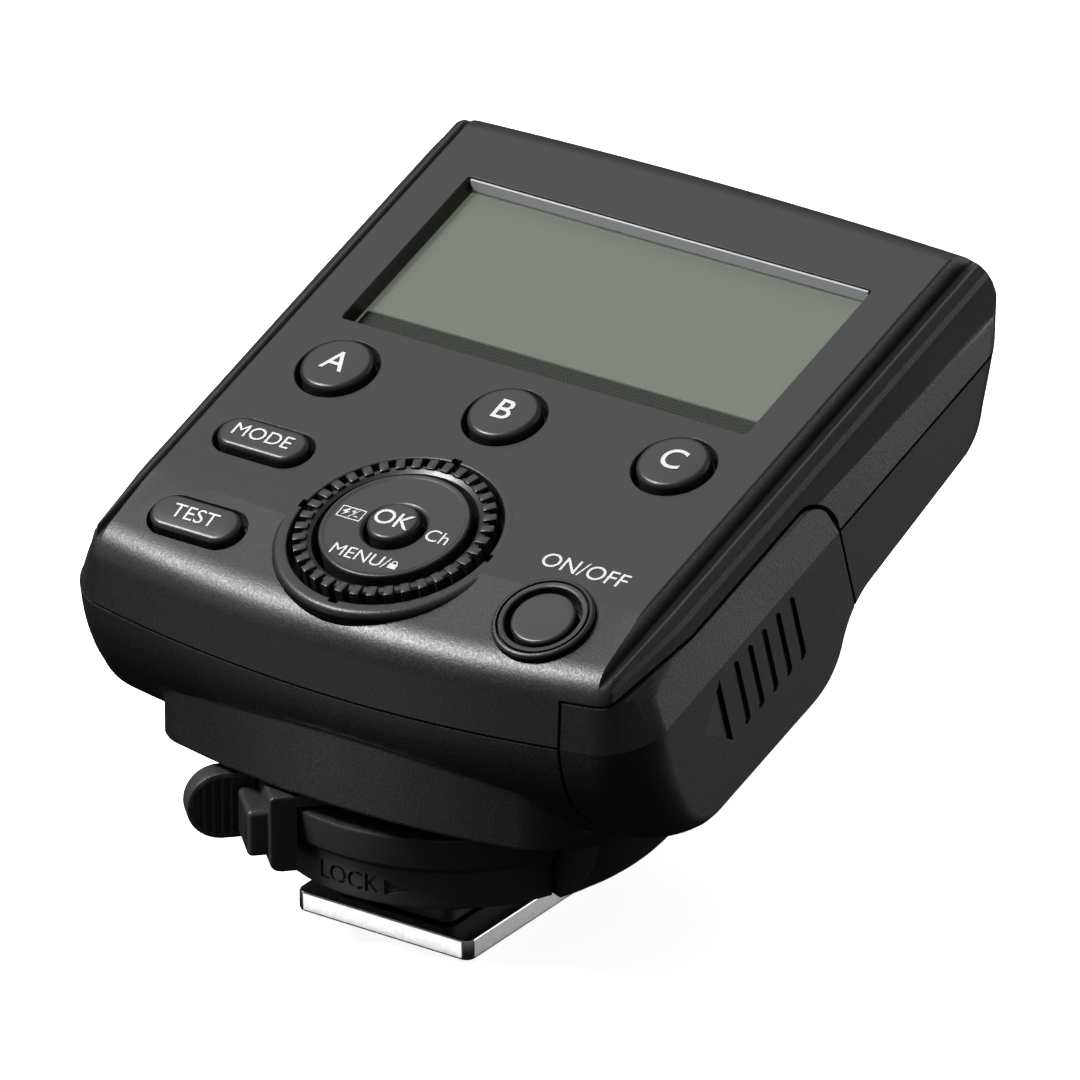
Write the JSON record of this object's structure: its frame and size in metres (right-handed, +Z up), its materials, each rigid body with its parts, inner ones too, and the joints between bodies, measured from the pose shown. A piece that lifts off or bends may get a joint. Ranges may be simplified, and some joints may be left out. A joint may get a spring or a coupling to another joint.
{
  "type": "wireless flash trigger",
  "caption": "Shoe-mounted wireless flash trigger with a tilted control panel, wide display, round and pill buttons, toothed dial, side battery cover and locking lever.",
  "frame": {"origin": "centre of the shoe plate's bottom face", "axes": "+Z up out of the camera's shoe, +Y forwards away from the user, +X to the user's right"},
  "size_m": [0.0614, 0.0634, 0.0527],
  "materials": {
    "casing": "fine-grained black moulded plastic",
    "cap": "smooth satin dark grey moulded plastic",
    "dark": "matte black moulded plastic",
    "screen": "grey-green reflective liquid-crystal panel",
    "glass": "clear protective window with a soft gloss",
    "board": "solder-masked circuit board",
    "steel": "plain sheet and spring steel",
    "chrome": "polished plated metal",
    "brass": "gold-plated contacts",
    "rubber": "moulded silicone keypad",
    "cell": "plain printed metal can",
    "marking": "white printed ink"
  },
  "bodies": {
    "casing": {"upper_shell": "casing", "lower_shell": "casing", "lock_collar": "casing", "front_base": "casing", "screen_window": "glass", "screen_module": "screen", "keypad_sheet": "rubber", "main_board": "board", "radio_board": "board", "radio_shield": "steel", "antenna": "brass", "dial_encoder": "dark", "ok_switch": "dark", "battery_tray": "dark", "neck_floor": "dark", "shoe_insert": "dark", "shoe_stem": "dark", "cell_1": "cell", "cell_2": "cell", "cell_spring_1": "steel", "cell_spring_2": "steel", "contact_bridge": "steel", "case_screw_1": "steel", "case_screw_2": "steel", "shoe_plate": "chrome", "shoe_contact": "steel", "shoe_pin_1": "brass", "shoe_pin_2": "brass", "shoe_pin_3": "brass", "shoe_pin_4": "brass"},
    "battery_cover": {"battery_cover": "casing", "cover_contact": "steel"},
    "button_a": {"button_a": "cap"},
    "button_b": {"button_b": "cap"},
    "button_c": {"button_c": "cap"},
    "mode_button": {"mode_button": "cap"},
    "test_button": {"test_button": "cap"},
    "power_button": {"power_button": "cap"},
    "dial": {"dial_ring": "cap"},
    "pad_pivot": {"pad_pivot": "dark"},
    "arrow_pad": {"arrow_pad": "cap"},
    "ok_button": {"ok_button": "cap"},
    "lock_lever": {"lock_lever": "casing"},
    "lock_pin": {"lock_pin": "steel"}
  },
  "joints": [
    {"name": "button_a_press", "type": "slide", "parent": "casing", "child": "button_a", "axis": [0, 0.3007, -0.9537], "range_m": [0, 0.0006], "stiffness_N_per_m": 800},
    {"name": "button_b_press", "type": "slide", "parent": "casing", "child": "button_b", "axis": [0, 0.3007, -0.9537], "range_m": [0, 0.0006], "stiffness_N_per_m": 800},
    {"name": "button_c_press", "type": "slide", "parent": "casing", "child": "button_c", "axis": [0, 0.3007, -0.9537], "range_m": [0, 0.0006], "stiffness_N_per_m": 800},
    {"name": "mode_press", "type": "slide", "parent": "casing", "child": "mode_button", "axis": [0, 0.3007, -0.9537], "range_m": [0, 0.0006], "stiffness_N_per_m": 800},
    {"name": "test_press", "type": "slide", "parent": "casing", "child": "test_button", "axis": [0, 0.4147, -0.91], "range_m": [0, 0.0005], "stiffness_N_per_m": 800},
    {"name": "power_press", "type": "slide", "parent": "casing", "child": "power_button", "axis": [0, 0.4147, -0.91], "range_m": [0, 0.0005], "stiffness_N_per_m": 800},
    {"name": "ok_press", "type": "slide", "parent": "casing", "child": "ok_button", "axis": [0, 0.3007, -0.9537], "range_m": [0, 0.0005], "stiffness_N_per_m": 800},
    {"name": "dial_turn", "type": "hinge", "parent": "casing", "child": "dial", "pos_m": [-0.00068, -0.00548, 0.03777], "axis": [0, -0.3007, 0.9537], "continuous": true},
    {"name": "pad_tilt_up_down", "type": "hinge", "parent": "casing", "child": "pad_pivot", "pos_m": [-0.00068, -0.005, 0.03624], "axis": [1, 0, 0], "range_deg": [-2.5, 2.5], "stiffness_Nm_per_rad": 0.15},
    {"name": "pad_tilt_left_right", "type": "hinge", "parent": "pad_pivot", "child": "arrow_pad", "pos_m": [-0.00068, -0.005, 0.03624], "axis": [0, 0.9537, 0.3007], "range_deg": [-2.5, 2.5], "stiffness_Nm_per_rad": 0.15},
    {"name": "cover_slide", "type": "slide", "parent": "casing", "child": "battery_cover", "axis": [0, -0.9537, -0.3007], "range_m": [0, 0.005]},
    {"name": "lever_turn", "type": "hinge", "parent": "casing", "child": "lock_lever", "pos_m": [0, 0.0018, 0.0145], "axis": [0, 0, 1], "range_deg": [0, 75]},
    {"name": "pin_drop", "type": "slide", "parent": "casing", "child": "lock_pin", "axis": [0, 0, -1], "range_m": [0, 0.0018]}
  ],
  "couplings": [
    {"joint": "pin_drop", "follows": "lever_turn", "m_per_rad": 0.00137}
  ]
}
